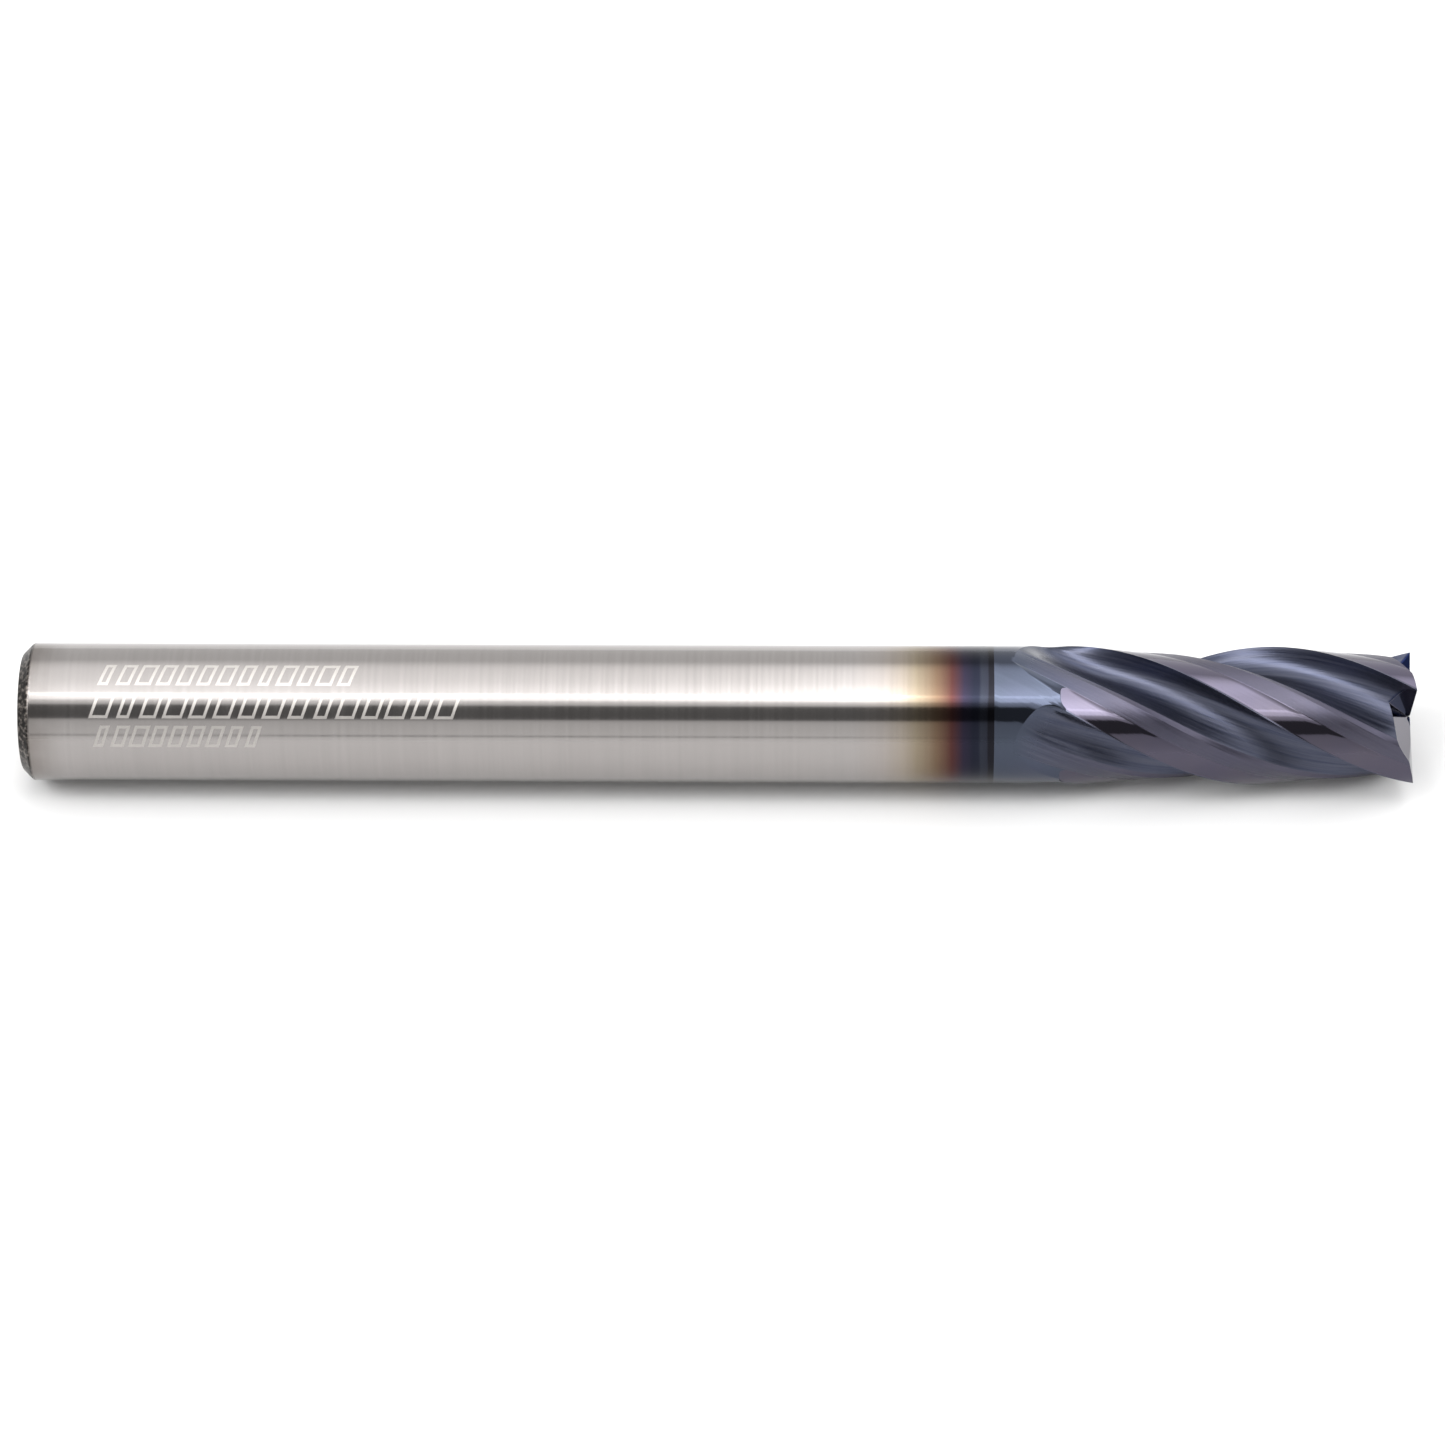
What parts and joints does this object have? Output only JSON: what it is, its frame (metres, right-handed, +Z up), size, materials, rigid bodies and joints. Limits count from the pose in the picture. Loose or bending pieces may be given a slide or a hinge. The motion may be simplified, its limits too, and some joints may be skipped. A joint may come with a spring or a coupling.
{
  "type": "end mill",
  "caption": "Square-end milling cutter: a plain cylindrical shank and a coated cutting end with right-hand helical flutes and ground end teeth.",
  "frame": {"origin": "on the floor, under the middle of the tool's length, as it lies on its side", "axes": "+X along the tool's axis towards the end teeth, +Z up, +Y across"},
  "size_m": [0.064, 0.0064, 0.0063],
  "materials": {
    "ground_carbide": "bare cemented carbide, centreless ground and bright",
    "coated_carbide": "dark violet-grey hard nitride coating, glossy metallic"
  },
  "bodies": {
    "root": {"shank": "ground_carbide", "neck": "coated_carbide", "fluted_body": "coated_carbide", "end_teeth": "coated_carbide"}
  },
  "joints": []
}
